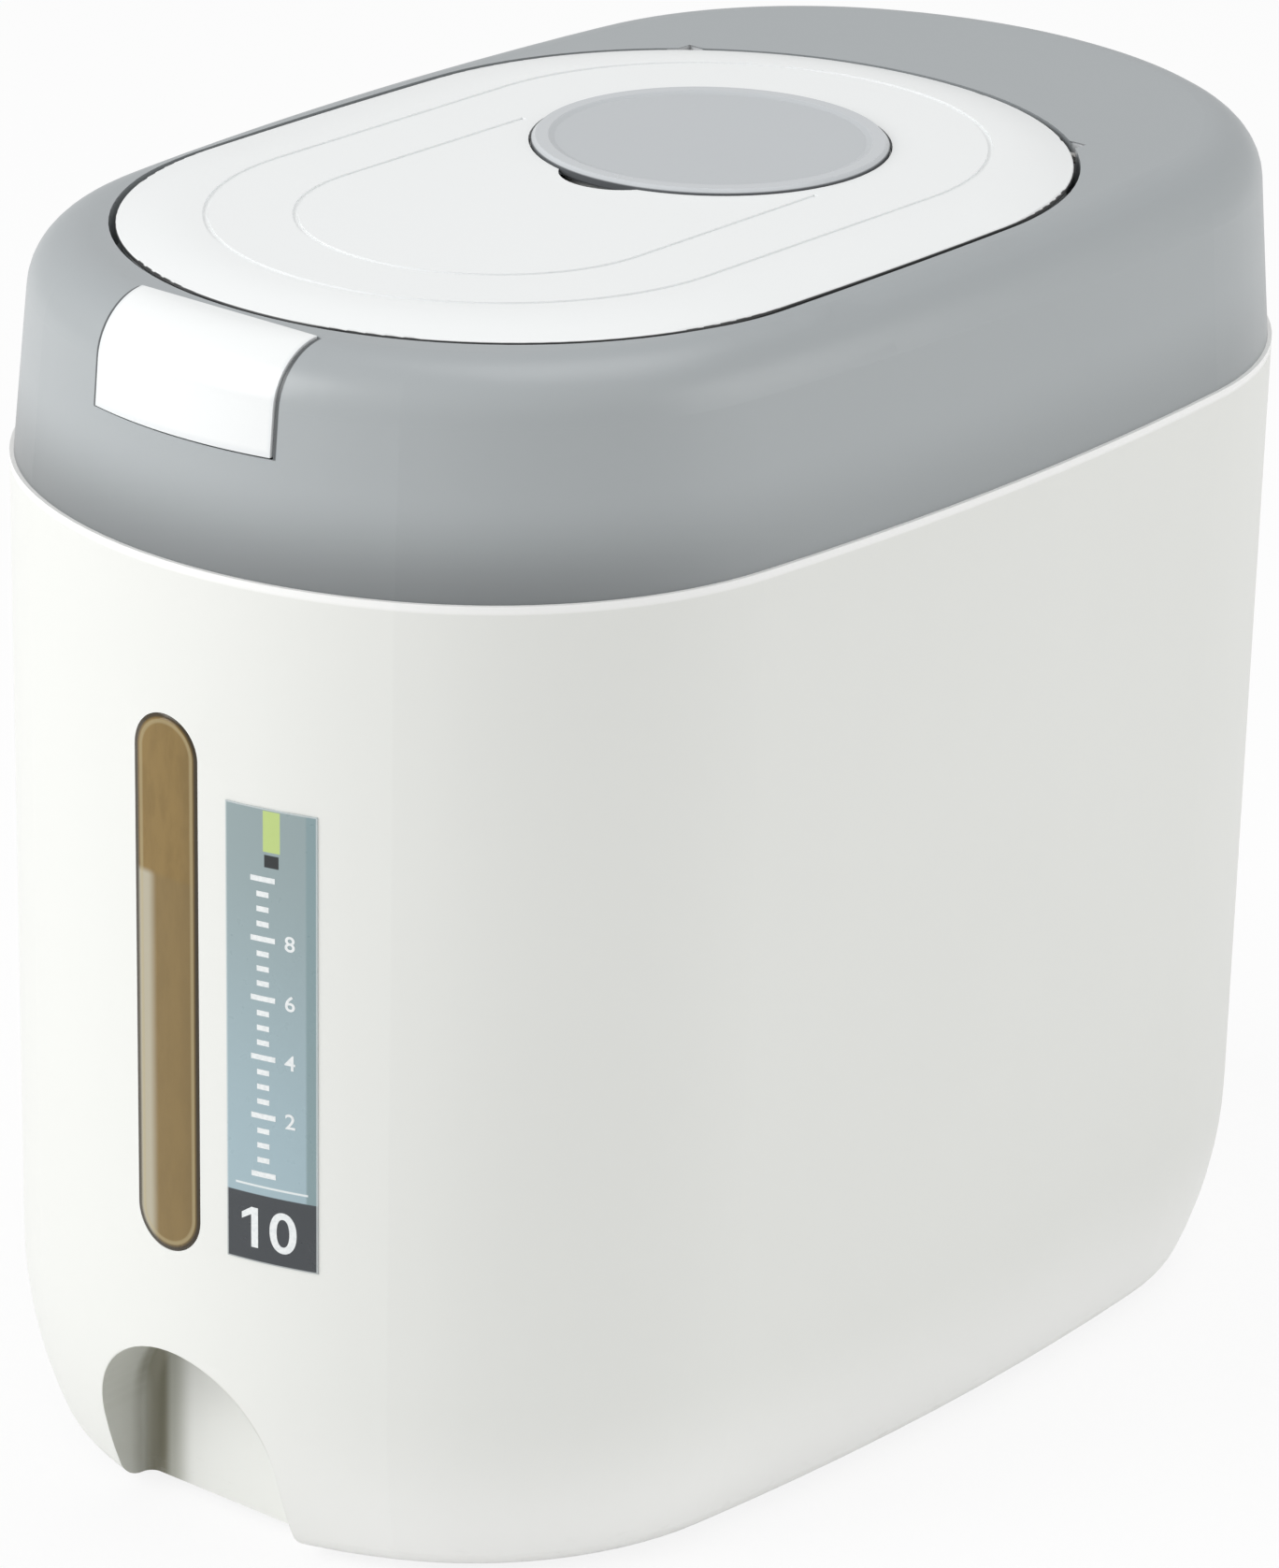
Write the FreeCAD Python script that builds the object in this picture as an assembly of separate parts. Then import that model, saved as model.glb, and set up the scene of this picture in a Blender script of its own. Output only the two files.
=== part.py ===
import FreeCAD, Part
import math
import os

# Household rice bin: an oval white tub with a sight window and a handhold, a grey
# cover frame, a hinged lid with a push latch, and a measuring cup kept in the lid.
# Millimetres. X is the width, Y the length (front at -Y), Z up, origin on the floor
# under the middle of the bin.

V = FreeCAD.Vector

# ---- driving dimensions: tub ------------------------------------------------
bin_length = 340.0          # along Y, at the rim
bin_width = 212.0           # along X, at the rim
side_radius = 838.0         # long, nearly flat sides
end_widening = 8.0          # radius of front and back, over half the width
corner_tightening = 15.0    # radius between them, under half the width
end_radius = bin_width / 2 + end_widening
corner_radius = bin_width / 2 - corner_tightening
ground_gap = 2.0            # floor to the skirt
rim_height = 242.0          # joint between tub and cover
tub_wall = 2.5
tub_draft = 0.0102          # inset per mm below the rim
base_round_height = 47.0    # rounding of the bottom edge, height
base_round_depth = 16.0     # and depth
base_edge_radius = 8.0      # tighter radius at the very bottom
skirt_foot = 2.0            # width of the ring it stands over
skirt_knee = 10.0           # height at which the skirt's inside starts to follow its outside
skirt_lead = 3.0            # slope below that
floor_under = 20.0          # underside of the raised floor
floor_thick = 2.5
rim_bead_depth = 1.2        # inward bead that the cover snaps under
rim_bead_height = 6.0
run_on = 1.0                # cuts and joined pieces run this far past a face

# ---- handhold, window and label ----------------------------------------------
handhold_radius = 27.0
handhold_top = 48.8
handhold_depth = 24.5       # from the foremost point of the rim
handhold_corner = 3.0
window_width = 19.0
window_bottom = 74.7
window_drop = 36.3          # below the rim
window_top = rim_height - window_drop
window_gap = 0.15
window_flange = 4.0
window_flange_thick = 2.0
window_reach = 30.0         # depth swept through the front wall
label_left = 17.2
label_width = 22.2
label_bottom = 78.5
label_height = 111.0
label_thick = 0.25

# ---- cover frame ---------------------------------------------------------------
cover_height = 52.2
cover_top = rim_height + cover_height
cover_step = 1.0            # cover sits in from the rim of the tub
cover_draft = 0.082
cover_shoulder = 14.4
cover_wall = 2.5
spigot_depth = 10.0
spigot_thick = 2.2
spigot_gap = 0.2
snap_length = 14.0
snap_height = 2.8
snap_reach = 1.0
snap_spacing = 70.0
snap_clear = 0.3            # under the bead
recess_depth = 11.2
ledge_height = cover_top - recess_depth     # floor of the recess for the lid
neck_upstand = 2.5
neck_depth = 27.5
neck_top = ledge_height + neck_upstand
neck_bottom = neck_top - neck_depth
neck_thick = 2.3
stiffener_thick = 1.6
stiffener_depth = 12.0
stiffener_place = 34.0

# ---- lid -------------------------------------------------------------------------
lid_border_side = 19.4      # cover left beside the lid
lid_border_front = 25.2     # in front of it
lid_border_rear = 68.8      # and behind it
lid_length = bin_length - lid_border_front - lid_border_rear
lid_width = bin_width - 2 * lid_border_side
lid_centre = (lid_border_front - lid_border_rear) / 2
lid_side_radius = 1500.0
lid_end_widening = 11.4
lid_corner_tightening = 2.6
lid_end_radius = lid_width / 2 + lid_end_widening
lid_corner_radius = lid_width / 2 - lid_corner_tightening
lid_rise = 0.2              # edge over the cover's top
lid_edge = cover_top + lid_rise
lid_gap = 1.5
lid_skin = 2.2
lid_skirt = 7.4
lid_skirt_bottom = lid_edge - lid_skirt
lid_crown = 2.2             # plateau above the edge
lid_crown_width = 17.0
lid_round = 0.8
lid_lip = 1.0               # thickness of the edge over its undercut
lid_undercut = 1.6
inner_fit = 0.25
inner_plate_drop = 5.1
inner_plate_bottom = lid_edge - inner_plate_drop
inner_plate_thick = 2.0
groove_width = 1.3
groove_depth = 0.45
groove_end_border = 82.6    # lid's edge to the centre of the grooves' end arcs
groove_side_border = 22.0
groove_spacing = 20.4
groove_shift = 0.8
groove_half_spacing = lid_length / 2 - groove_end_border
groove_centre = lid_centre + groove_shift
outer_groove_radius = lid_width / 2 - groove_side_border
inner_groove_radius = outer_groove_radius - groove_spacing
inner_groove_end = 2.0      # the inner one stops here, in front of the disc
gasket_gap = 0.3
gasket_inside = 1.5         # reach of the gasket each side of the neck
gasket_outside = 4.0
rib_thick = 1.5
rib_depth = 2.7
rib_bottom = inner_plate_bottom - rib_depth
fit_gap = 0.2
weld_thick = 1.5            # ring that joins the lid's two skins
weld_inset = 3.0            # inwards of the crown
tongue_lead = 0.8           # chamfer of the catch
gasket_line = 0.7           # relief lines along the gasket's face, width
gasket_line_place = 1.6     # from its middle
gasket_line_depth = 0.8

# ---- place of the hinge ---------------------------------------------------------------
hinge_border = 90.0         # from the back of the bin
hinge_drop = 2.7            # below the cover's top
hinge_y = bin_length / 2 - hinge_border
hinge_z = cover_top - hinge_drop

# ---- mouth under the lid ------------------------------------------------------------
mouth_margin = 0.65         # between the gasket's ribs and the lid's edge
mouth_side_border = (lid_undercut + lid_skin + inner_fit + rib_thick + fit_gap
                     + gasket_outside + mouth_margin)
mouth_width = lid_width - 2 * mouth_side_border
mouth_front_border = 18.8   # from the lid's front edge
mouth_hinge_border = 8.0
mouth_front = lid_centre - lid_length / 2 + mouth_front_border
mouth_rear = hinge_y - mouth_hinge_border
mouth_length = mouth_rear - mouth_front
mouth_centre = (mouth_rear + mouth_front) / 2
mouth_end_widening = 3.8
mouth_corner_tightening = 8.2
mouth_end_radius = mouth_width / 2 + mouth_end_widening
mouth_corner_radius = mouth_width / 2 - mouth_corner_tightening
mouth_side_radius = 1500.0

# ---- measuring cup and its well -----------------------------------------------------
cup_border = 54.4           # from the back of the mouth to the cup's axis
cup_centre = mouth_rear - cup_border
cup_disc_radius = 42.1
cup_disc_thick = 3.0
cup_rise = 3.7
cup_top = cover_top + cup_rise
cup_wall = 1.8
cup_base_radius = 35.6
cup_mouth_radius = 37.0
cup_base_thick = 2.2
cup_depth = 48.1            # 180 ml
cup_dish = 0.5
cup_bead = 4.0
cup_bead_slope = 1.5
cup_edge = 1.0              # chamfer of the disc
cup_lower_edge = 0.6
well_gap = 1.0
well_wall = 1.8
disc_gap = 0.6
seat_gap = 0.3
scoop_radius = 14.0
scoop_wall = 1.6
scoop_centre_drop = 8.5     # from the disc's front edge to the scoop's centre
scoop_centre_height = 1.5   # above the plateau

# ---- hinge ----------------------------------------------------------------------------
hinge_pin_radius = 1.25
hinge_boss_radius = 3.1
hinge_ear_thick = 6.0
hinge_run_gap = 0.06
hinge_relief = 4.4
hinge_swing_gap = 0.9       # behind the lid's edge when it stands open
hinge_outer_boss = 14.0     # length in from the end of the hinge
hinge_inner_boss = 3.0
spring_room = 9.0           # between the bosses
hinge_block_half = 6.0
hinge_hole_lead = 6.0       # pin and boss holes start this far inside the lid's edge
boss_hole_lead = 8.0
boss_reach = 3.0            # bosses run this far past the lid's edge before it trims them
hinge_pin_land = 0.5
hinge_hole_end = 5.0
inner_clear_front = 5.0     # opening in the inner lid for bosses and springs
inner_clear_end = 1.5
inner_clear_side = 6.0
pocket_lead = 5.2
pocket_depth = 19.5
pocket_front = hinge_y - pocket_lead
pocket_bottom = ledge_height - pocket_depth
spring_clear = 0.4
spring_wire = 0.45          # radius
spring_mean_radius = 2.35
spring_turns = 5.0
spring_leg = 4.6

# ---- latch ---------------------------------------------------------------------------
button_width = 52.0
button_border = 21.2        # from the front of the bin
button_height = 23.9
button_top_edge = button_border - bin_length / 2
button_bottom = cover_top - button_height
button_gap = 0.5
button_proud = 0.4
button_thick = 2.6
slot_land = 0.5             # width of the slot's lower edge
slot_drop = 6.0             # height of the slope behind it
slot_run = 4.5              # and its depth
latch_border = 17.5
latch_drop = 5.7
latch_y = latch_border - bin_length / 2
latch_z = cover_top - latch_drop
latch_pin_radius = 1.5
latch_run_gap = 0.06
press_gap = 0.02
cheek_thick = 2.4
cheek_inset = 1.6
latch_ear_thick = 3.0
latch_ear_half = 4.5
latch_ear_back = 3.0
latch_way_side = 2.5         # beside the hook, in the ledge
latch_way_front = 0.5
latch_way_back = 1.5
latch_ear_gap = 0.4
hook_width = 24.0
hook_thick = 2.2
tongue_width = 26.0
tongue_depth = 12.3
tongue_bottom = inner_plate_bottom - tongue_depth
tongue_thick = 1.8
lip_reach = 1.4
lip_height = 2.5
hook_clear = 0.4            # nose to the tongue's lip
hook_gap = 0.3
hook_nose = 2.2
hook_rise = 2.1
latch_spring_radius = 2.1
latch_spring_wire = 0.35
latch_spring_turns = 6.0
latch_spring_rise = 7.0
latch_spring_z = button_bottom + latch_spring_rise
seat_rib_half = 6.0
spring_peg_gap = 0.15
spring_peg = 3.2
spring_boss = 2.4
spring_end_gap = 0.1
spring_front_gap = 0.35

# ---- wheels and feet ------------------------------------------------------------------
wheel_radius = 9.0
wheel_width = 12.0
wheel_side_border = 54.0
wheel_back_border = 54.0
wheel_x = bin_width / 2 - wheel_side_border
wheel_y = bin_length / 2 - wheel_back_border
wheel_edge = 1.0            # rounding of the tread's edges
wheel_side_gap = 0.6
axle_radius = 2.0
axle_run_gap = 0.08
bracket_thick = 2.5
bracket_half = 6.0
axle_end = 0.8              # axle past its cheeks
foot_radius = 7.0
foot_height = 4.0
foot_stem_radius = 3.0
foot_stem = 7.0
foot_post_wall = 2.6
foot_side_border = 56.0
foot_front_border = 62.0
foot_x = bin_width / 2 - foot_side_border
foot_y = foot_front_border - bin_length / 2
foot_edge = 0.8
foot_tip = 0.5

OUT = "parts"
BIG = 400.0


# ---- outlines ----------------------------------------------------------------------------
def oval(length, width, side, end, corner):
    """Centres and turning angles of an outline of eight tangent arcs."""
    a = length / 2
    b = width / 2
    side_centre = V(b - side, 0, 0)
    end_centre = V(0, a - end, 0)
    r1 = side - corner
    r2 = end - corner
    between = end_centre - side_centre
    d = between.Length
    along = (d * d + r1 * r1 - r2 * r2) / (2 * d)
    off = math.sqrt(r1 * r1 - along * along)
    u = between / d
    w = V(-u.y, u.x, 0)
    centre = side_centre + u * along + w * off
    turn1 = math.atan2(centre.y, centre.x - side_centre.x)
    turn2 = math.atan2(centre.y - end_centre.y, centre.x)
    return {"side": side, "end": end, "corner": corner, "centre": centre,
            "side_x": side_centre.x, "end_y": end_centre.y, "t1": turn1, "t2": turn2}


TUB = oval(bin_length, bin_width, side_radius, end_radius, corner_radius)
LID = oval(lid_length, lid_width, lid_side_radius, lid_end_radius, lid_corner_radius)
MOUTH = oval(mouth_length, mouth_width, mouth_side_radius, mouth_end_radius, mouth_corner_radius)


def arc(cx, cy, radius, a0, a1, z):
    points = [V(cx + radius * math.cos(t), cy + radius * math.sin(t), z)
              for t in (a0, (a0 + a1) / 2, a1)]
    return Part.Arc(*points).toShape()


def oval_wire(o, inset, z, cy=0.0):
    """The outline moved in by inset, at height z."""
    side = o["side"] - inset
    end = o["end"] - inset
    corner = o["corner"] - inset
    t1 = o["t1"]
    t2 = o["t2"]
    c = o["centre"]
    pi = math.pi
    return Part.Wire([
        arc(o["side_x"], cy, side, -t1, t1, z),
        arc(c.x, cy + c.y, corner, t1, t2, z),
        arc(0, cy + o["end_y"], end, t2, pi - t2, z),
        arc(-c.x, cy + c.y, corner, pi - t2, pi - t1, z),
        arc(-o["side_x"], cy, side, pi - t1, pi + t1, z),
        arc(-c.x, cy - c.y, corner, pi + t1, pi + t2, z),
        arc(0, cy - o["end_y"], end, pi + t2, 2 * pi - t2, z),
        arc(c.x, cy - c.y, corner, 2 * pi - t2, 2 * pi - t1, z)])


def oval_prism(o, inset, z0, z1, cy=0.0):
    return Part.Face(oval_wire(o, inset, z0, cy)).extrude(V(0, 0, z1 - z0))


def oval_form(o, profile, cy=0.0):
    """Solid whose every level is the outline moved in by an inset.

    The profile runs upwards as (z, inset) points. A point with a third value is
    reached by an arc through that (z, inset) point; the others by a straight line."""
    c = o["centre"]
    t1 = o["t1"]
    t2 = o["t2"]
    pi = math.pi
    sectors = [
        (o["side_x"], 0.0, o["side"], -t1, t1),
        (c.x, c.y, o["corner"], t1, t2),
        (0.0, o["end_y"], o["end"], t2, pi - t2),
        (-c.x, c.y, o["corner"], pi - t2, pi - t1),
        (-o["side_x"], 0.0, o["side"], pi - t1, pi + t1),
        (-c.x, -c.y, o["corner"], pi + t1, pi + t2),
        (0.0, -o["end_y"], o["end"], pi + t2, 2 * pi - t2),
        (c.x, -c.y, o["corner"], 2 * pi - t2, 2 * pi - t1)]
    faces = []
    for x, y, radius, start, stop in sectors:
        def place(z, inset):
            reach = radius - inset
            return V(x + reach * math.cos(start), cy + y + reach * math.sin(start), z)
        last = place(*profile[0][:2])
        for point in profile[1:]:
            here = place(*point[:2])
            if len(point) > 2:
                edge = Part.Arc(last, place(*point[2]), here).toShape()
            else:
                edge = Part.makeLine(last, here)
            faces.append(edge.revolve(V(x, cy + y, 0), V(0, 0, 1), math.degrees(stop - start)))
            last = here
    for z, inset in (profile[0][:2], profile[-1][:2]):
        faces.append(Part.Face(oval_wire(o, inset, z, cy)))
    shell = Part.makeShell(faces)
    shell.sewShape()
    solid = Part.Solid(shell)
    if solid.Volume < 0:
        solid.reverse()
    return solid


def oval_ring(o, outer, inner, z0, z1, cy=0.0):
    return oval_prism(o, outer, z0, z1, cy).cut(oval_prism(o, inner, z0, z1, cy))


def box(x0, x1, y0, y1, z0, z1):
    return Part.makeBox(x1 - x0, y1 - y0, z1 - z0, V(x0, y0, z0))


def rod(radius, x0, x1, y, z):
    """Cylinder along X."""
    return Part.makeCylinder(radius, x1 - x0, V(x0, y, z), V(1, 0, 0))


def profile_x(points, x0, x1):
    """Polygon in the YZ plane, given thickness along X."""
    corners = [V(x0, y, z) for y, z in points]
    return Part.Face(Part.makePolygon(corners + corners[:1])).extrude(V(x1 - x0, 0, 0))


def upright_slot(half_width, z0, z1, y0, y1):
    """Rounded slot in the XZ plane, along Y."""
    low = z0 + half_width
    high = z1 - half_width
    edges = [
        Part.makeLine(V(half_width, y0, low), V(half_width, y0, high)),
        Part.Arc(V(half_width, y0, high), V(0, y0, z1), V(-half_width, y0, high)).toShape(),
        Part.makeLine(V(-half_width, y0, high), V(-half_width, y0, low)),
        Part.Arc(V(-half_width, y0, low), V(0, y0, z0), V(half_width, y0, low)).toShape()]
    return Part.Face(Part.Wire(edges)).extrude(V(0, y1 - y0, 0))


def revolve(points, x, y):
    """Turned solid about the upright line at x, y, from (radius, z) points."""
    corners = [V(x + r, y, z) for r, z in points]
    face = Part.Face(Part.makePolygon(corners + corners[:1]))
    return face.revolve(V(x, y, 0), V(0, 0, 1), 360)


def fuse(first, others):
    return first.fuse(others).removeSplitter()


def mirrored(shape):
    return shape.mirror(V(0, 0, 0), V(1, 0, 0))


def save(name, shape):
    solids = shape.Solids
    if len(solids) != 1 or not shape.isValid():
        print("CHECK", name, len(solids), "solids, valid", shape.isValid())
    result = solids[0] if len(solids) == 1 else shape
    result.exportStep(OUT + "/" + name + ".step")
    print(name, round(result.Volume / 1000, 2), "cm3")


# ---- tub ---------------------------------------------------------------------------------
def base_arc(inset):
    """Large arc of the bottom rounding: centre inset, centre height and radius."""
    high = base_round_height - base_edge_radius
    deep = base_round_depth
    radius = ((deep ** 2 + high ** 2 - base_edge_radius ** 2)
              / (2 * (deep - base_edge_radius)))
    top = ground_gap + base_round_height
    return (rim_height - top) * tub_draft + radius, top, radius - inset


def tub_inset(z, inset=0.0):
    """How far the tub's outside lies in from its rim at height z."""
    centre, top, radius = base_arc(inset)
    if z >= top:
        return (rim_height - z) * tub_draft + inset
    return centre - math.sqrt(radius ** 2 - (top - z) ** 2)


def tub_form(inset, z0, z1):
    """The tub's outside moved in by inset, from z0, above the small edge radius."""
    top = base_arc(0.0)[1]
    middle = (z0 + top) / 2
    return oval_form(TUB, [(z0, tub_inset(z0, inset)),
                           (top, tub_inset(top, inset), (middle, tub_inset(middle, inset))),
                           (z1, tub_inset(z1, inset))])


def tub_outside():
    """Whole outside: flat ring underneath, small radius, large radius, drafted wall."""
    centre, top, radius = base_arc(0.0)
    small = base_edge_radius
    foot = centre - radius + base_round_depth
    small_z = ground_gap + small
    lean = math.atan2(top - small_z, centre - foot)
    meet = (top - radius * math.sin(lean), centre - radius * math.cos(lean))
    half = (math.pi / 2 + lean) / 2
    halfway = (small_z - small * math.sin(half), foot - small * math.cos(half))
    middle = (meet[0] + top) / 2
    return oval_form(TUB, [(ground_gap, foot), (meet[0], meet[1], halfway),
                           (top, tub_inset(top), (middle, tub_inset(middle))),
                           (rim_height, 0.0)])


def tub_underside():
    """Hollow under the raised floor, inside the rolled edge of the skirt."""
    lip = tub_inset(ground_gap + base_round_height) + base_round_depth + skirt_foot
    knee = ground_gap + skirt_knee
    high = floor_under
    middle = (knee + high) / 2
    return oval_form(TUB, [(-run_on, lip), (knee - skirt_lead, lip),
                           (knee, tub_inset(knee, tub_wall)),
                           (high, tub_inset(high, tub_wall), (middle, tub_inset(middle, tub_wall)))])


def handhold_form(grow, front, back):
    """Arched recess in the front of the skirt, open at the bottom."""
    radius = handhold_radius + grow
    centre = handhold_top - handhold_radius
    edges = [
        Part.makeLine(V(radius, front, -run_on), V(radius, front, centre)),
        Part.Arc(V(radius, front, centre), V(0, front, centre + radius),
                 V(-radius, front, centre)).toShape(),
        Part.makeLine(V(-radius, front, centre), V(-radius, front, -run_on)),
        Part.makeLine(V(-radius, front, -run_on), V(radius, front, -run_on))]
    form = Part.Face(Part.Wire(edges)).extrude(V(0, back - front, 0))
    corners = [e for e in form.Edges
               if abs(e.Vertexes[0].X - e.Vertexes[-1].X) < 1e-6
               and abs(abs(e.Vertexes[0].X) - radius) < 1e-6
               and all(abs(v.Y - back) < 1e-6 for v in e.Vertexes)
               and abs(e.Vertexes[0].Z - e.Vertexes[-1].Z) > 1.0]
    return form.makeFillet(handhold_corner + grow, corners) if corners else form


def wheel_bracket(side):
    """Two cheeks that hold one wheel's axle, under the raised floor."""
    cheeks = []
    for hand in (-1, 1):
        inner = side * wheel_x + hand * (wheel_width / 2 + wheel_side_gap)
        outer = inner + hand * bracket_thick
        x0 = min(inner, outer)
        x1 = max(inner, outer)
        plate = box(x0, x1, wheel_y - bracket_half, wheel_y + bracket_half,
                    wheel_radius, floor_under + run_on)
        nose = rod(bracket_half, x0, x1, wheel_y, wheel_radius)
        hole = rod(axle_radius + press_gap, x0 - run_on, x1 + run_on, wheel_y, wheel_radius)
        cheeks.append(plate.fuse(nose).cut(hole))
    return cheeks


def foot_post(side):
    radius = foot_stem_radius + foot_post_wall
    post = Part.makeCylinder(radius, floor_under + run_on - foot_height,
                             V(side * foot_x, foot_y, foot_height))
    socket = Part.makeCylinder(foot_stem_radius + press_gap, foot_stem + foot_tip,
                               V(side * foot_x, foot_y, foot_height))
    return post.cut(socket)


def make_tub():
    front = -bin_length / 2
    outside = tub_outside()
    floor_top = floor_under + floor_thick
    bead_bottom = rim_height - rim_bead_height
    inside = tub_form(tub_wall, floor_top, rim_height)
    bead = oval_ring(TUB, 0.0, tub_wall + rim_bead_depth, bead_bottom, rim_height)
    body = outside.cut([inside, tub_underside()])
    body = body.fuse(bead.common(outside))
    alcove = handhold_form(tub_wall, front - run_on, front + handhold_depth + tub_wall)
    body = body.fuse([alcove.common(outside)])
    hollow = handhold_form(0.0, front - run_on, front + handhold_depth)
    slot = upright_slot(window_width / 2, window_bottom, window_top,
                        front - run_on, front + window_reach)
    body = body.cut([hollow, slot])
    extras = wheel_bracket(-1) + wheel_bracket(1) + [foot_post(-1), foot_post(1)]
    return fuse(body, extras)


def make_window():
    """Smoky clear strip, pushed in from inside and welded by its flange."""
    front = -bin_length / 2
    low = floor_under + floor_thick
    outside = tub_form(0.0, low, rim_height)
    inside = tub_form(tub_wall, low, rim_height)
    deeper = tub_form(tub_wall + window_flange_thick, low, rim_height)
    half = window_width / 2
    plug = upright_slot(half - window_gap, window_bottom + window_gap,
                        window_top - window_gap, front - run_on, front + window_reach)
    rim = upright_slot(half + window_flange, window_bottom - window_flange,
                       window_top + window_flange, front - run_on, front + window_reach)
    pane = outside.cut(inside).common(plug)
    flange = inside.cut(deeper).common(rim)
    return fuse(pane, [flange])


def make_label():
    low = floor_under + floor_thick
    skin = tub_form(-label_thick, low, rim_height).cut(tub_form(0.0, low, rim_height))
    area = box(label_left, label_left + label_width, -bin_length, 0,
               label_bottom, label_bottom + label_height)
    return skin.common(area)


# ---- cover frame -----------------------------------------------------------------------------
def cover_inset(z):
    return cover_step + (z - rim_height) * cover_draft


def cover_form(inset, z0):
    """The cover's outside moved in by inset all over, from height z0 up."""
    top = cover_top - inset
    radius = cover_shoulder - inset
    lean = math.atan(cover_draft)
    grow = inset / math.cos(lean)
    centre = cover_inset(top - radius) + grow + radius / math.cos(lean)
    start = (top - radius + radius * math.sin(lean), centre - radius * math.cos(lean))
    half = (math.pi / 2 + lean) / 2
    halfway = (top - radius + radius * math.sin(half), centre - radius * math.cos(half))
    return oval_form(TUB, [(z0, cover_inset(z0) + grow), start, (top, centre, halfway)])


def button_slot():
    """Opening for the latch button; its lower edge slopes away inwards, clear of the swing."""
    x = button_width / 2 + button_gap
    back = button_top_edge + button_gap
    low = button_bottom - button_gap
    inset = cover_inset(low) + slot_land
    slope = oval_form(TUB, [(low - slot_drop, inset + slot_run), (low, inset), (BIG, inset)])
    window = box(-x, x, -BIG, back, low, BIG)
    return window.fuse(slope.common(box(-x, x, -BIG, back, low - slot_drop, low + run_on)))


def snap_lugs():
    """Barbs on the spigot that click under the bead of the tub's rim."""
    clear = tub_wall + rim_bead_depth + spigot_gap
    top = rim_height - rim_bead_height - snap_clear
    ring = oval_ring(TUB, clear - snap_reach, clear + run_on, top - snap_height, top)
    half = snap_length / 2
    places = [box(-half, half, -BIG, BIG, 0, BIG)]
    places += [box(-BIG, BIG, y - half, y + half, 0, BIG) for y in (-snap_spacing, 0, snap_spacing)]
    return [ring.common(place) for place in places]


def hinge_edge(o, centre, y):
    """Half width of an outline at y."""
    dy = abs(y - centre) - o["centre"].y
    return o["centre"].x + math.sqrt(o["corner"] ** 2 - dy ** 2)


def lid_half_width_at_hinge():
    end_c = lid_centre + LID["end_y"]
    corner_c = lid_centre + LID["centre"].y
    in_end = math.sqrt(max(0.0, lid_end_radius ** 2 - (hinge_y - end_c) ** 2))
    in_corner = hinge_edge(LID, lid_centre, hinge_y)
    turn = math.atan2(hinge_y - corner_c, in_corner - LID["centre"].x)
    return in_corner if turn < LID["t2"] else in_end


def hinge_inner_end():
    """Where the lid's hinge ends towards the middle."""
    return lid_half_width_at_hinge() - hinge_outer_boss - spring_room - hinge_inner_boss


def hinge_blocks(hollow):
    """Thick places outside the recess that take the hinge pins."""
    x0 = lid_half_width_at_hinge() + lid_gap
    x1 = x0 + cover_wall + hinge_ear_thick
    block = box(x0, x1, hinge_y - hinge_block_half, hinge_y + hinge_block_half,
                ledge_height - cover_wall, cover_top)
    block = block.common(hollow)
    return [block, mirrored(block)]


def latch_pin_reach():
    return button_width / 2 + button_gap + latch_ear_gap + latch_ear_thick


def latch_ears(hollow):
    x1 = latch_pin_reach()
    ear = box(x1 - latch_ear_thick, x1, latch_y - latch_ear_half,
              button_top_edge + latch_ear_back, latch_z - latch_ear_half, cover_top)
    ear = ear.common(hollow)
    return [ear, mirrored(ear)]


def spring_seat():
    """Rib behind the button that the latch spring leans on."""
    front = recess_front() - cover_wall
    rib = box(-seat_rib_half, seat_rib_half, front, front + cover_wall,
              latch_spring_z - latch_spring_radius - fit_gap, ledge_height)
    boss = Part.makeCylinder(latch_spring_radius - latch_spring_wire - spring_peg_gap,
                             spring_boss + run_on, V(0, front - spring_boss, latch_spring_z),
                             V(0, 1, 0))
    return [rib, boss]


def recess_front():
    return lid_centre - lid_length / 2 - lid_gap


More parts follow.
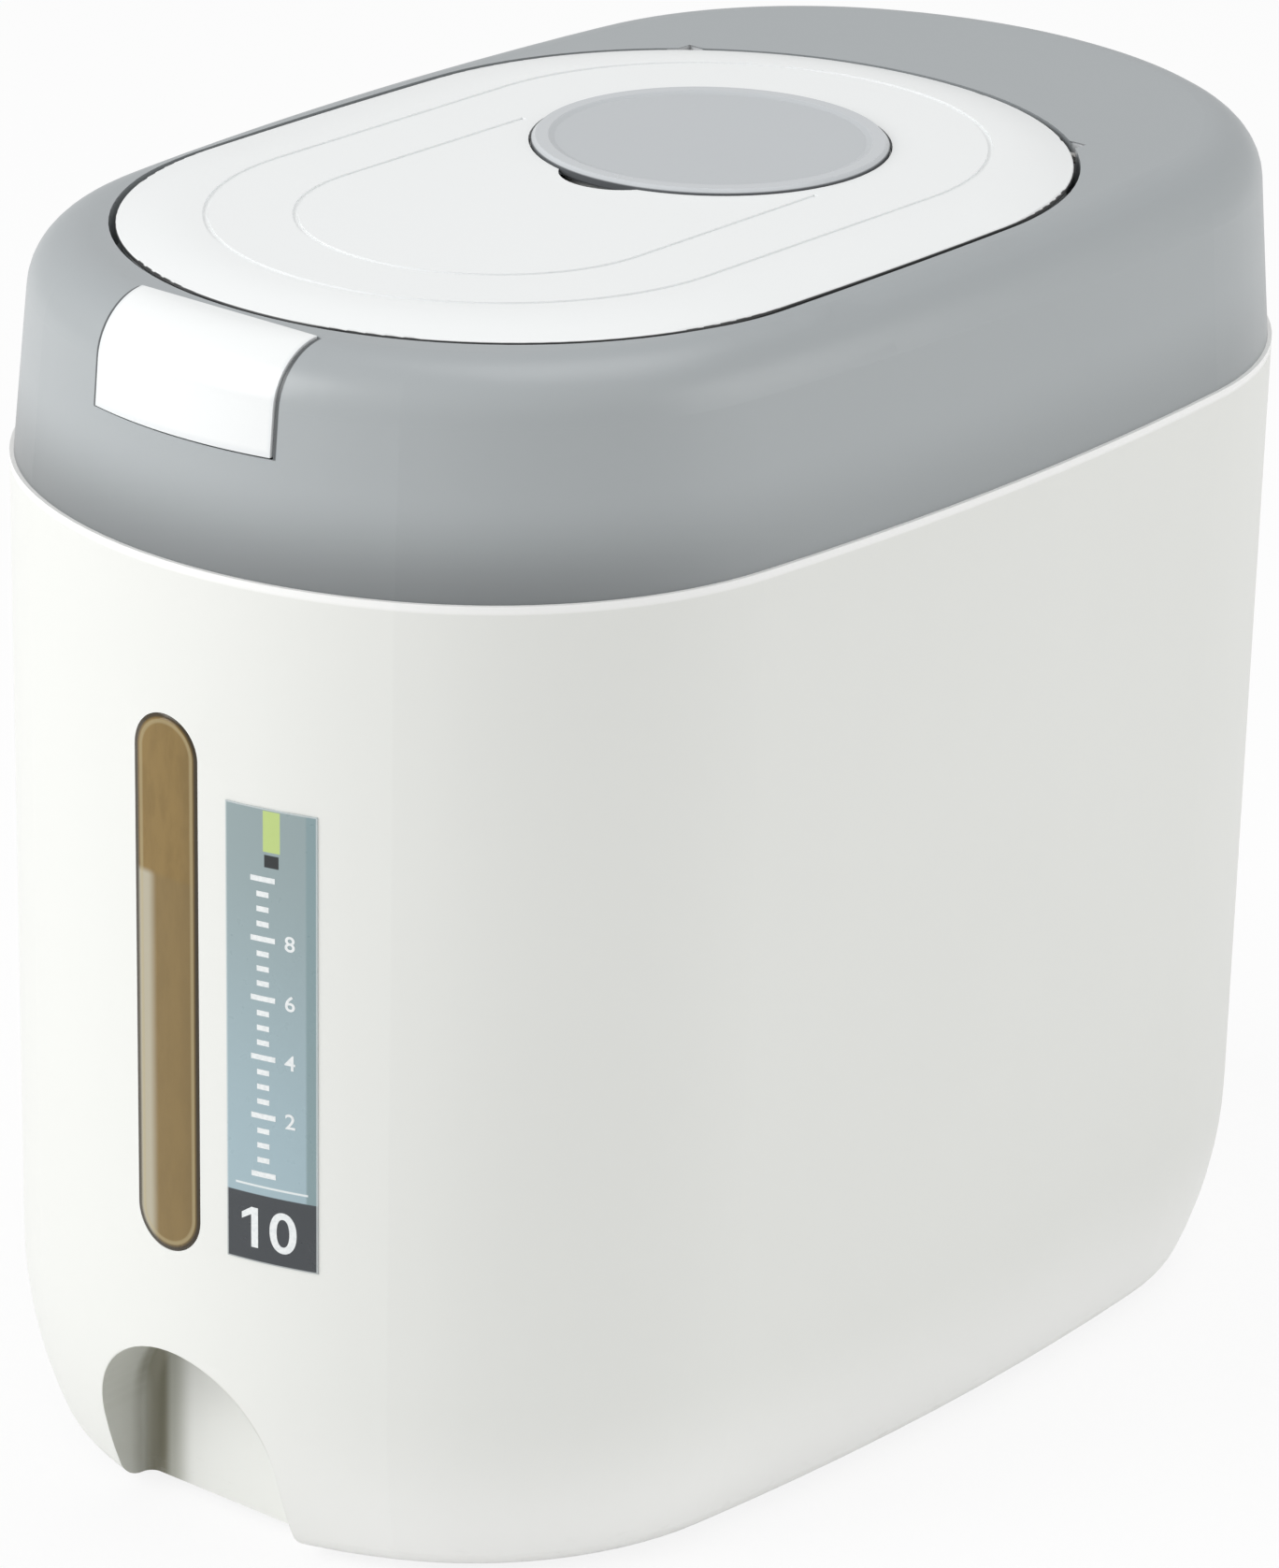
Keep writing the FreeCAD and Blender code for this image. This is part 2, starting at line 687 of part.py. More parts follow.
def make_cover():
    floor = ledge_height - cover_wall
    outside = cover_form(0.0, rim_height)
    flange_top = rim_height + cover_wall
    hollow = cover_form(cover_wall, flange_top)
    clear = tub_wall + rim_bead_depth + spigot_gap
    spigot = oval_prism(TUB, clear, rim_height - spigot_depth, rim_height)
    throat = oval_prism(TUB, clear + spigot_thick, rim_height - spigot_depth - run_on, flange_top)
    body = outside.fuse(spigot).cut([hollow, throat])
    recess_wall = oval_prism(LID, -lid_gap - cover_wall, floor, cover_top, lid_centre)
    recess_wall = recess_wall.common(outside)
    neck = oval_prism(MOUTH, -neck_thick, neck_bottom, neck_top, mouth_centre)
    pocket_floor = pocket_bottom - cover_wall
    behind = box(-BIG, BIG, pocket_front - cover_wall, BIG, 0, BIG)
    pocket = oval_prism(LID, -lid_gap - cover_wall, pocket_floor, ledge_height, lid_centre)
    pocket = pocket.common(behind)
    ribs = []
    for side in (-1, 1):
        x = side * stiffener_place - stiffener_thick / 2
        rib = box(x, x + stiffener_thick, hinge_y, bin_length / 2,
                  cover_top - cover_wall - stiffener_depth, cover_top)
        ribs.append(rib.common(hollow))
    more = [recess_wall, neck, pocket] + hinge_blocks(hollow) + latch_ears(hollow) + ribs
    body = body.fuse(more + spring_seat() + snap_lugs())
    recess = oval_prism(LID, -lid_gap, ledge_height, BIG, lid_centre)
    upstand = oval_prism(MOUTH, -neck_thick, ledge_height, neck_top, mouth_centre)
    mouth = oval_prism(MOUTH, 0.0, neck_bottom - run_on, BIG, mouth_centre)
    pocket_in = oval_prism(LID, -lid_gap, pocket_bottom, ledge_height + run_on, lid_centre)
    pocket_in = pocket_in.common(box(-BIG, BIG, pocket_front, BIG, 0, BIG))
    way = hook_width / 2 + latch_way_side
    latch_way = box(-way, way, recess_front() + latch_way_front,
                    mouth_front - neck_thick - latch_way_back, floor - run_on,
                    ledge_height + run_on)
    body = body.cut([recess.cut(upstand), mouth, pocket_in, latch_way, button_slot()])
    half = lid_half_width_at_hinge()
    pins = []
    for side in (-1, 1):
        x0 = side * (half - hinge_hole_lead)
        x1 = side * (half + lid_gap + cover_wall + hinge_ear_thick + hinge_hole_end)
        pins.append(rod(hinge_pin_radius + press_gap, min(x0, x1), max(x0, x1), hinge_y, hinge_z))
        x2 = side * (half - boss_hole_lead)
        x3 = side * (half + lid_gap + fit_gap)
        x4 = side * (half + hinge_relief - lid_gap)
        pins.append(rod(hinge_boss_radius + seat_gap, min(x2, x3), max(x2, x3),
                        hinge_y, hinge_z))
        swing = box(-BIG, BIG, -BIG, hinge_y + lid_edge - hinge_z + hinge_swing_gap, 0, BIG)
        pins.append(rod(hinge_relief, min(x2, x4), max(x2, x4), hinge_y, hinge_z).common(swing))
    reach = latch_pin_reach() + press_gap
    pins.append(rod(latch_pin_radius + press_gap, -reach, reach, latch_y, latch_z))
    return fuse(body.cut(pins), [])


# ---- lid ---------------------------------------------------------------------------------------
def lid_form(inset, drop, z0):
    """The lid's outside: upright edge, small round, then a soft crown to a plateau."""
    edge = lid_edge - drop
    run = lid_crown_width - lid_round
    radius = (run ** 2 + lid_crown ** 2) / (2 * lid_crown)
    half = run / 2
    rise = lid_crown - radius + math.sqrt(radius ** 2 - half ** 2)
    soft = lid_round * (1 - math.sqrt(0.5))
    return oval_form(LID, [(z0, inset + lid_undercut),
                           (edge - lid_lip - lid_undercut, inset + lid_undercut),
                           (edge - lid_lip, inset), (edge - lid_round, inset),
                           (edge, inset + lid_round, (edge - soft, inset + soft)),
                           (edge + lid_crown, inset + lid_crown_width,
                            (edge + rise, inset + lid_crown_width - half))], lid_centre)


def stadium(radius, half_spacing, centre, z0, z1):
    low = centre - half_spacing
    high = centre + half_spacing
    edges = [
        Part.makeLine(V(radius, low, z0), V(radius, high, z0)),
        Part.Arc(V(radius, high, z0), V(0, high + radius, z0), V(-radius, high, z0)).toShape(),
        Part.makeLine(V(-radius, high, z0), V(-radius, low, z0)),
        Part.Arc(V(-radius, low, z0), V(0, low - radius, z0), V(radius, low, z0)).toShape()]
    return Part.Face(Part.Wire(edges)).extrude(V(0, 0, z1 - z0))


def groove(radius):
    top = lid_edge + lid_crown
    half = groove_width / 2
    low = top - groove_depth
    outer = stadium(radius + half, groove_half_spacing, groove_centre, low, top + run_on)
    inner = stadium(radius - half, groove_half_spacing, groove_centre, low, top + run_on)
    return outer.cut(inner)


def scoop_ball(grow):
    """Finger scoop at the front edge of the cup's disc."""
    centre = V(0, cup_centre - cup_disc_radius + scoop_centre_drop,
               lid_edge + lid_crown + scoop_centre_height)
    return Part.makeSphere(scoop_radius + grow, centre)


def seat_top():
    return cup_top - cup_disc_thick - seat_gap


def scoop_dish():
    """Shell of the finger scoop: open at the top, closed at the back by the cup's well."""
    shell = scoop_ball(scoop_wall)
    low = lid_edge + lid_crown + scoop_centre_height - scoop_radius - scoop_wall
    shell = shell.common(lid_form(0.0, 0.0, low - run_on))
    well = Part.makeCylinder(well_radius() + well_wall + fit_gap, BIG, V(0, cup_centre, 0))
    disc = Part.makeCylinder(cup_disc_radius + disc_gap, BIG, V(0, cup_centre, seat_top()))
    return shell.cut([well, disc])


def hinge_bosses():
    """Round bosses under the lid's edge that turn on the hinge pins."""
    half = lid_half_width_at_hinge()
    room = half - hinge_outer_boss - spring_room
    outer = rod(hinge_boss_radius, half - hinge_outer_boss, half + boss_reach, hinge_y, hinge_z)
    inner = rod(hinge_boss_radius, room - hinge_inner_boss, room, hinge_y, hinge_z)
    return [outer, inner, mirrored(outer), mirrored(inner)]


def spring_relief(side):
    half = lid_half_width_at_hinge()
    x0 = side * (half - hinge_outer_boss - spring_room)
    x1 = side * (half - hinge_outer_boss)
    radius = spring_mean_radius + spring_wire + spring_clear
    return rod(radius, min(x0, x1), max(x0, x1), hinge_y, hinge_z)


def make_lid_panel():
    outside = lid_form(0.0, 0.0, lid_skirt_bottom)
    inside = lid_form(lid_skin, lid_skin, lid_skirt_bottom - run_on)
    hole = Part.makeCylinder(cup_disc_radius + disc_gap, BIG, V(0, cup_centre, 0))
    body = outside.cut([inside, hole])
    body = body.fuse([scoop_dish()] + [boss.common(outside) for boss in hinge_bosses()])
    far_groove = groove(outer_groove_radius)
    near_groove = groove(inner_groove_radius).common(box(-BIG, BIG, -BIG, inner_groove_end, 0, BIG))
    cuts = [scoop_ball(0.0), far_groove, near_groove]
    half = lid_half_width_at_hinge()
    for side in (-1, 1):
        x0 = side * (hinge_inner_end() - run_on)
        x1 = side * (half + boss_reach + run_on)
        cuts.append(rod(hinge_pin_radius + hinge_run_gap, min(x0, x1), max(x0, x1),
                        hinge_y, hinge_z))
        cuts.append(spring_relief(side))
    return fuse(body.cut(cuts), [])


def well_radius():
    return cup_mouth_radius + well_gap


def inner_edge():
    return lid_undercut + lid_skin + inner_fit


def make_lid_inner():
    """Underside of the lid: plate, gasket groove, cup well and catch tongue."""
    low = inner_plate_bottom
    high = low + inner_plate_thick
    edge = inner_edge()
    plate = oval_prism(LID, edge, low, high, lid_centre)
    ribs = [oval_ring(MOUTH, gasket_inside + fit_gap, gasket_inside + fit_gap + rib_thick,
                      rib_bottom, low + 0.5, mouth_centre),
            oval_ring(MOUTH, -gasket_outside - fit_gap - rib_thick, -gasket_outside - fit_gap,
                      rib_bottom, low + 0.5, mouth_centre)]
    well_floor = cup_top - cup_base_thick - cup_depth - well_gap
    outer = well_radius() + well_wall
    well = Part.makeCylinder(outer, high - well_floor + well_wall,
                             V(0, cup_centre, well_floor - well_wall))
    seat = Part.makeCylinder(cup_disc_radius + disc_gap - fit_gap, seat_top() - high,
                             V(0, cup_centre, high))
    front = lid_centre - lid_length / 2 + edge
    back = front + tongue_thick
    tongue = profile_x([(front, low + 0.5), (front, tongue_bottom),
                        (back + lip_reach - tongue_lead, tongue_bottom),
                        (back + lip_reach, tongue_bottom + tongue_lead),
                        (back + lip_reach, tongue_bottom + lip_height),
                        (back, tongue_bottom + lip_height), (back, low + 0.5)],
                       -tongue_width / 2, tongue_width / 2)
    welded = lid_crown_width + weld_inset
    weld = oval_ring(LID, welded, welded + weld_thick, high - 0.1,
                     lid_edge + lid_crown - lid_skin - inner_fit, lid_centre)
    tongue = tongue.common(oval_prism(LID, edge, tongue_bottom - run_on, high, lid_centre))
    body = plate.fuse(ribs + [well, seat, tongue, weld])
    bore = Part.makeCylinder(well_radius(), BIG, V(0, cup_centre, well_floor))
    finger = scoop_ball(scoop_wall + fit_gap)
    finger = finger.cut(Part.makeCylinder(outer, BIG, V(0, cup_centre, 0)))
    half = lid_half_width_at_hinge()
    cuts = [bore, finger]
    for side in (-1, 1):
        x0 = side * (hinge_inner_end() - inner_clear_end)
        x1 = side * (half + inner_clear_side)
        cuts.append(box(min(x0, x1), max(x0, x1), hinge_y - inner_clear_front, BIG,
                        low - run_on, high + run_on))
    return fuse(body.cut(cuts), [])


def make_gasket():
    """Soft ring in the lid's groove, with a relief line along its sealing face."""
    low = neck_top + gasket_gap
    high = inner_plate_bottom - 0.1
    ring = oval_ring(MOUTH, -gasket_outside, gasket_inside, low, high, mouth_centre)
    middle = (gasket_inside - gasket_outside) / 2
    lines = []
    for start in (gasket_line_place, -gasket_line_place - gasket_line):
        lines.append(oval_ring(MOUTH, middle + start, middle + start + gasket_line,
                               low - run_on, low + gasket_line_depth, mouth_centre))
    return ring.cut(lines)


def make_cup():
    """Measuring cup, kept mouth down; its base is the round disc in the lid."""
    base = cup_top - cup_base_thick
    mouth = base - cup_depth
    under = cup_top - cup_disc_thick
    disc = cup_disc_radius
    rim = cup_disc_radius - cup_bead
    outer = [(0, cup_top - cup_dish), (rim - cup_bead_slope, cup_top - cup_dish), (rim, cup_top),
             (disc - cup_edge, cup_top), (disc, cup_top - cup_edge),
             (disc, under + cup_lower_edge), (disc - cup_lower_edge, under),
             (cup_base_radius, under), (cup_mouth_radius, mouth),
             (cup_mouth_radius - cup_wall, mouth), (cup_base_radius - cup_wall, base), (0, base)]
    return revolve(outer, 0, cup_centre)


# ---- hinge and latch hardware -----------------------------------------------------------------
def make_hinge_pin(side):
    half = lid_half_width_at_hinge()
    x0 = side * (hinge_inner_end() + hinge_pin_land)
    x1 = side * (half + lid_gap + cover_wall + hinge_ear_thick - run_on)
    return rod(hinge_pin_radius, min(x0, x1), max(x0, x1), hinge_y, hinge_z)


def coil(radius, wire, pitch, turns, start, axis):
    """Round wire wound on a helix along axis from start."""
    path = Part.makeHelix(pitch, pitch * turns, radius)
    ring = Part.Wire(Part.makeCircle(wire, V(radius, 0, 0), V(0, 1, 0)))
    body = Part.Wire(path.Edges).makePipeShell([ring], True, True)
    turn = FreeCAD.Rotation(V(0, 0, 1), axis)
    body.Placement = FreeCAD.Placement(start, turn)
    return body


def make_lid_spring(side):
    """Torsion spring round a hinge pin, with a straight leg along the lid at each end."""
    half = lid_half_width_at_hinge()
    pitch = spring_wire * 2 + 0.35
    length = pitch * spring_turns
    helix = Part.makeHelix(pitch, length, spring_mean_radius).Edges[0]
    first = helix.valueAt(helix.FirstParameter)
    last = helix.valueAt(helix.LastParameter)
    ahead = helix.tangentAt(helix.FirstParameter)
    away = helix.tangentAt(helix.LastParameter)
    lead = Part.makeLine(first - ahead * spring_leg, first)
    tail = Part.makeLine(last, last + away * spring_leg)
    path = Part.Wire([lead, helix, tail])
    ring = Part.Wire(Part.makeCircle(spring_wire, first - ahead * spring_leg, ahead))
    body = path.makePipeShell([ring], True, True)
    x0 = half - hinge_outer_boss - spring_room / 2 - length / 2
    body.Placement = FreeCAD.Placement(V(x0, hinge_y, hinge_z),
                                       FreeCAD.Rotation(V(0, 0, 1), V(1, 0, 0)))
    return body if side > 0 else mirrored(body)


def button_form(grow):
    return cover_form(grow, rim_height + cover_wall)


def make_button():
    """Push button with its cheeks and hook in one moulding."""
    half = button_width / 2
    area = box(-half, half, -BIG, button_top_edge, button_bottom, BIG)
    shell = button_form(-button_proud).cut(button_form(button_thick - button_proud)).common(area)
    inner = button_form(button_thick - button_proud - 0.3)
    cheeks = []
    for side in (-1, 1):
        outer = side * (half - cheek_inset)
        other = outer - side * cheek_thick
        points = [(button_top_edge - 0.5, BIG), (button_top_edge - 0.5, latch_z - 3.2),
                  (latch_y - 3.0, latch_z - 4.5), (-bin_length / 2 + 7.5, button_bottom + 0.5),
                  (-BIG, button_bottom + 0.5), (-BIG, BIG)]
        cheek = profile_x(points, min(outer, other), max(outer, other)).common(inner)
        cheeks.append(cheek)
    arm_low = button_bottom + 0.5
    arm_high = arm_low + hook_thick
    tongue_front = lid_centre - lid_length / 2 + inner_edge()
    lip_back = tongue_front + tongue_thick + lip_reach
    nose_front = lip_back + hook_clear
    nose_low = tongue_bottom + lip_height + hook_gap
    riser_front = nose_front + hook_nose
    riser_back = riser_front + hook_rise
    nose_high = nose_low + 2.8
    wall = -bin_length / 2 + cover_inset(button_bottom) + button_thick - button_proud - 0.8
    points = [(wall, arm_low), (riser_back, arm_low), (riser_back, nose_high),
              (nose_front + 1.8, nose_high), (nose_front, nose_low + 0.8),
              (nose_front, nose_low), (riser_front, nose_low), (riser_front, arm_high),
              (wall, arm_high)]
    hook = profile_x(points, -hook_width / 2, hook_width / 2)
    peg_y = -bin_length / 2 + cover_inset(latch_spring_z) + button_thick - button_proud - 0.8
    peg = Part.makeCylinder(latch_spring_radius - latch_spring_wire - spring_peg_gap,
                            spring_peg, V(0, peg_y, latch_spring_z), V(0, 1, 0))
    body = shell.fuse(cheeks + [hook, peg])
    hole = rod(latch_pin_radius + latch_run_gap, -half, half, latch_y, latch_z)
    return fuse(body.cut(hole), [])


def make_latch_pin():
    reach = latch_pin_reach()
    return rod(latch_pin_radius, -reach, reach, latch_y, latch_z)


def make_latch_spring():
    back = recess_front() - cover_wall - latch_spring_wire - spring_end_gap
    front = (-bin_length / 2 + cover_inset(latch_spring_z) + button_thick - button_proud
             + latch_spring_wire + spring_front_gap)
    length = back - front
    return coil(latch_spring_radius, latch_spring_wire, length / latch_spring_turns,
                latch_spring_turns, V(0, front, latch_spring_z), V(0, 1, 0))


# ---- wheels and feet ---------------------------------------------------------------------------
def make_wheel(side):
    x = side * wheel_x
    half = wheel_width / 2
    wheel = rod(wheel_radius, x - half, x + half, wheel_y, wheel_radius)
    rims = [e for e in wheel.Edges if len(e.Vertexes) == 1 or e.isClosed()]
    rims = [e for e in rims if abs(e.Length - 2 * math.pi * wheel_radius) < 0.1]
    wheel = wheel.makeFillet(wheel_edge, rims)
    return wheel.cut(rod(axle_radius + axle_run_gap, x - half, x + half, wheel_y, wheel_radius))


def make_axle(side):
    x = side * wheel_x
    reach = wheel_width / 2 + wheel_side_gap + bracket_thick + axle_end
    return rod(axle_radius, x - reach, x + reach, wheel_y, wheel_radius)


def make_foot(side):
    tip = foot_height + foot_stem
    points = [(0, 0), (foot_radius - foot_edge, 0), (foot_radius, foot_edge),
              (foot_radius, foot_height), (foot_stem_radius, foot_height),
              (foot_stem_radius, tip - foot_tip), (foot_stem_radius - foot_tip, tip), (0, tip)]
    return revolve(points, side * foot_x, foot_y)


os.makedirs(OUT, exist_ok=True)
save("tub", make_tub())
save("sight_window", make_window())
save("capacity_label", make_label())
save("cover_frame", make_cover())
save("lid_panel", make_lid_panel())
save("lid_inner", make_lid_inner())
save("lid_gasket", make_gasket())
save("measuring_cup", make_cup())
save("latch_button", make_button())
save("latch_pin", make_latch_pin())
save("latch_spring", make_latch_spring())
for hand, side in (("left", -1), ("right", 1)):
    save("hinge_pin_" + hand, make_hinge_pin(side))
    save("lid_spring_" + hand, make_lid_spring(side))
    save("rear_wheel_" + hand, make_wheel(side))
    save("wheel_axle_" + hand, make_axle(side))
    save("front_foot_" + hand, make_foot(side))
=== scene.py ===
import bpy
import bmesh
import math
from mathutils import Matrix, Vector


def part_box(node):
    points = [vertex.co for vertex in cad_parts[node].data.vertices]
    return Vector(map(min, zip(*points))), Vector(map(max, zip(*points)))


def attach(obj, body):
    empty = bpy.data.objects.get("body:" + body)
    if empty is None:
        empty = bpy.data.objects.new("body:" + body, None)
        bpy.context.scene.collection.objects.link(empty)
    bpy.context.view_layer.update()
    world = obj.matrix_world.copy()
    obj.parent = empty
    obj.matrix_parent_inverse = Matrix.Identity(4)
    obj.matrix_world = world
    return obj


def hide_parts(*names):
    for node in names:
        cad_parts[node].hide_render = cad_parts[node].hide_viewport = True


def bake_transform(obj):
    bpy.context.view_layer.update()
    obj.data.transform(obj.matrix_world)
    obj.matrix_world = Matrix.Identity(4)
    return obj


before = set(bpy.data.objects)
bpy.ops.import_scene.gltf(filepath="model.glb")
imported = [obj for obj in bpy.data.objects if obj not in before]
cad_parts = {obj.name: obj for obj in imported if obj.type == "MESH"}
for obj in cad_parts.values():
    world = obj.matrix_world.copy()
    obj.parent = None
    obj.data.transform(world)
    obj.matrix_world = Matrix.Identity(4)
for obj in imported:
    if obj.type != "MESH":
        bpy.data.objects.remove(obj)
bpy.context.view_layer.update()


# ---- studio ----------------------------------------------------------------------------
# A pale floor under a wide soft sky, with a large key light at the front left, a weak
# fill at the right, a light from above, and a long lens that looks down on the bin's
# front right corner.
class Value:
    """A shader socket that takes part in arithmetic."""

    def __init__(self, material, socket):
        self.material = material
        self.socket = socket

    def math(self, kind, first, second=0.0):
        node = self.material.node("ShaderNodeMath", {"operation": kind}, {0: first, 1: second})
        return node.out(0)

    def __add__(self, other):
        return self.math("ADD", self, other)

    def __sub__(self, other):
        return self.math("SUBTRACT", self, other)

    def __rsub__(self, other):
        return self.math("SUBTRACT", other, self)

    def __mul__(self, other):
        return self.math("MULTIPLY", self, other)

    def __neg__(self):
        return self.math("MULTIPLY", self, -1.0)

    def __abs__(self):
        return self.math("ABSOLUTE", self)

    def root(self):
        return self.math("SQRT", self)

    def max(self, other):
        return self.math("MAXIMUM", self, other)

    def step(self, low, high):
        """0 below low, 1 above high, and a smooth rise between."""
        node = self.material.node("ShaderNodeMapRange", {"interpolation_type": "SMOOTHSTEP"},
                                  {"Value": self, "From Min": low, "From Max": high})
        return node.out(0)

    __radd__ = __add__
    __rmul__ = __mul__


class Made:
    """A node just made, whose outputs are read as values."""

    def __init__(self, material, node):
        self.material = material
        self.node = node

    def out(self, name=0):
        return Value(self.material, self.node.outputs[name])


class Finish:
    """One procedural material and the nodes that make it."""

    def __init__(self, name, world=False):
        if world:
            self.data = bpy.data.worlds.new(name)
        else:
            self.data = bpy.data.materials.new(name)
        self.data.use_nodes = True
        self.tree = self.data.node_tree
        self.tree.nodes.clear()

    def node(self, kind, settings=None, values=None):
        """Any node, from its type, its settings and the values or links of its sockets."""
        node = self.tree.nodes.new(kind)
        for key, value in (settings or {}).items():
            setattr(node, key, value)
        for key, value in (values or {}).items():
            socket = node.inputs[key]
            if isinstance(value, Value):
                self.tree.links.new(value.socket, socket)
            else:
                socket.default_value = value
        return Made(self, node)

    def place(self):
        return self.node("ShaderNodeTexCoord").out("Object")

    def axes(self):
        parts = self.node("ShaderNodeSeparateXYZ", {}, {0: self.place()})
        return parts.out(0), parts.out(1), parts.out(2)

    def noise(self, scale, detail=3.0, rough=0.5, stretch=(1, 1, 1)):
        """Noise over the piece, about 1/scale metres from one lump to the next."""
        at = self.node("ShaderNodeVectorMath", {"operation": "MULTIPLY"},
                       {0: self.place(), 1: stretch}).out(0)
        return self.node("ShaderNodeTexNoise", {},
                         {"Vector": at, "Scale": scale, "Detail": detail,
                          "Roughness": rough}).out("Fac")

    def mix(self, amount, first, second):
        node = self.tree.nodes.new("ShaderNodeMix")
        node.data_type = "RGBA"
        for index, value in ((0, amount), (6, first), (7, second)):
            if isinstance(value, Value):
                self.tree.links.new(value.socket, node.inputs[index])
            else:
                node.inputs[index].default_value = value
        return Value(self, node.outputs[2])

    def bump(self, height, distance, strength=1.0):
        return self.node("ShaderNodeBump", {}, {"Height": height, "Distance": distance,
                                                "Strength": strength}).out(0)

    def surface(self, **values):
        """The main shader, with its sockets named in plain words."""
        shader = self.node("ShaderNodeBsdfPrincipled", {},
                           {key.replace("_", " "): value for key, value in values.items()})
        output = self.tree.nodes.new("ShaderNodeOutputMaterial")
        self.tree.links.new(shader.out(0).socket, output.inputs[0])
        return self.data


def srgb(red, green, blue):
    """Screen colour 0-255 to the linear light that shaders use."""
    def linear(level):
        level = level / 255
        return level / 12.92 if level <= 0.04045 else ((level + 0.055) / 1.055) ** 2.4
    return (linear(red), linear(green), linear(blue), 1.0)


def make_floor():
    """A matt floor that glows softly where it is seen, so that its far parts stay white."""
    glow_share = 0.86
    glossy_share = 0.5
    edge = 14.0
    finish = Finish("studio_floor")
    path = finish.node("ShaderNodeLightPath")
    seen = path.out("Is Camera Ray").max(path.out("Is Glossy Ray") * glossy_share).max(
        path.out("Is Transmission Ray"))
    matt = finish.node("ShaderNodeBsdfDiffuse", {}, {"Color": (0.9, 0.9, 0.9, 1)})
    glow = finish.node("ShaderNodeEmission", {}, {"Color": (1, 1, 1, 1), "Strength": 1.0})
    mixed = finish.node("ShaderNodeMixShader", {},
                        {0: seen * glow_share, 1: matt.out(0), 2: glow.out(0)})
    output = finish.tree.nodes.new("ShaderNodeOutputMaterial")
    finish.tree.links.new(mixed.out(0).socket, output.inputs[0])
    mesh = bpy.data.meshes.new("floor")
    mesh.from_pydata([(-edge, -edge, 0), (edge, -edge, 0), (edge, edge, 0), (-edge, edge, 0)],
                     [], [(0, 1, 2, 3)])
    floor = bpy.data.objects.new("floor", mesh)
    floor.data.materials.append(finish.data)
    bpy.context.scene.collection.objects.link(floor)


def make_sky():
    """A white sky, at half strength where it only lights the bin."""
    lighting = 0.50
    sky = Finish("studio_sky", world=True)
    path = sky.node("ShaderNodeLightPath")
    seen = path.out("Is Camera Ray").max(path.out("Is Transmission Ray"))
    strength = seen * (1.0 - lighting) + lighting
    back = sky.node("ShaderNodeBackground", {}, {"Color": (1, 1, 1, 1), "Strength": strength})
    output = sky.tree.nodes.new("ShaderNodeOutputWorld")
    sky.tree.links.new(back.out(0).socket, output.inputs[0])
    bpy.context.scene.world = sky.data


def make_lamp(name, place, side, power):
    """A square lamp with sides in metres and power in watts, aimed at the bin's middle."""
    lamp = bpy.data.lights.new(name, "AREA")
    lamp.shape = "RECTANGLE"
    lamp.size = side
    lamp.size_y = side
    lamp.energy = power
    holder = bpy.data.objects.new(name, lamp)
    holder.location = place
    aim = Vector((0, 0, 0.15)) - Vector(place)
    holder.rotation_euler = aim.to_track_quat("-Z", "Y").to_euler()
    bpy.context.scene.collection.objects.link(holder)


def make_camera():
    """A long lens, turned a little about its own axis, looking at the bin's middle."""
    azimuth = math.radians(39.351)
    height = math.radians(21.497)
    roll = math.radians(1.307)
    distance = 1.88711
    target = Vector((-0.000896, -0.002084, 0.140305))
    focal_pixels = 8415.423
    picture_height_pixels = 1677
    sensor = 36.0
    right = Vector((math.cos(azimuth), math.sin(azimuth), 0))
    back = Vector((math.sin(azimuth) * math.cos(height),
                   -math.cos(azimuth) * math.cos(height), math.sin(height)))
    up = back.cross(right)
    across = right * math.cos(roll) + up * math.sin(roll)
    upward = up * math.cos(roll) - right * math.sin(roll)
    data = bpy.data.cameras.new("camera")
    data.sensor_width = sensor
    data.lens = focal_pixels * sensor / picture_height_pixels
    data.clip_end = 60.0
    camera = bpy.data.objects.new("camera", data)
    turn = Matrix((across, upward, back)).transposed()
    camera.matrix_world = Matrix.Translation(target + back * distance) @ turn.to_4x4()
    bpy.context.scene.collection.objects.link(camera)
    bpy.context.scene.camera = camera


make_floor()
make_sky()
make_lamp("key", (-1.45, -2.4, 1.75), 2.2, 62.0)
make_lamp("fill", (2.4, 1.2, 0.8), 1.6, 15.5)
make_lamp("top", (0.3, 0.6, 2.8), 1.8, 19.0)
make_camera()
bpy.context.scene.view_settings.view_transform = "Standard"


# ---- tub -------------------------------------------------------------------------------
# The body of the bin is one white polypropylene moulding with a satin, very finely
# grained skin, glossier at the rim bead, rubbed a little along its bottom edge, and
# with an arched handhold cut into the front of its foot. Light is painted into its
# colour too: a highlight along the rim, a lighter foot at the right and shade in the handhold.
def moulded(name, colour, low, high, grain=0.00001, tint=0.012, extra=None):
    """Moulded plastic: fine grain, faint flow clouds and a gloss from low to high."""
    finish = Finish(name)
    clouds = finish.noise(9.0, 3.0).step(0.3, 0.75)
    fine = finish.noise(3200.0, 2.0)
    smear = finish.noise(90.0, 3.0, 0.6, (1.0, 1.0, 0.25))
    shade = tuple(level * (1 - tint) for level in colour[:3]) + (1,)
    base = finish.mix(clouds, colour, shade)
    rough = (clouds * 0.5 + smear * 0.5) * (high - low) + low
    if extra:
        base, rough = extra(finish, base, rough)
    skin = finish.bump(fine, grain, 0.5)
    return finish.surface(Base_Color=base, Roughness=rough, Normal=skin)


def dress(node, material):
    """Gives a CAD piece its finish."""
    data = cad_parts[node].data
    data.materials.clear()
    data.materials.append(material)


FRONT_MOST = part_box("tub")[0][1]
RIM_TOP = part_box("tub")[1][2]
HANDHOLD_HALF = 0.0270
HANDHOLD_SPRING = 0.0218
HANDHOLD_DEPTH = 0.0265
HANDHOLD_CORNER = -0.0242


def from_handhold_axis(x, z):
    """Distance from the upright middle line below the arch, and from its centre above."""
    above = (z - HANDHOLD_SPRING).max(0.0)
    return (x * x + above * above).root()


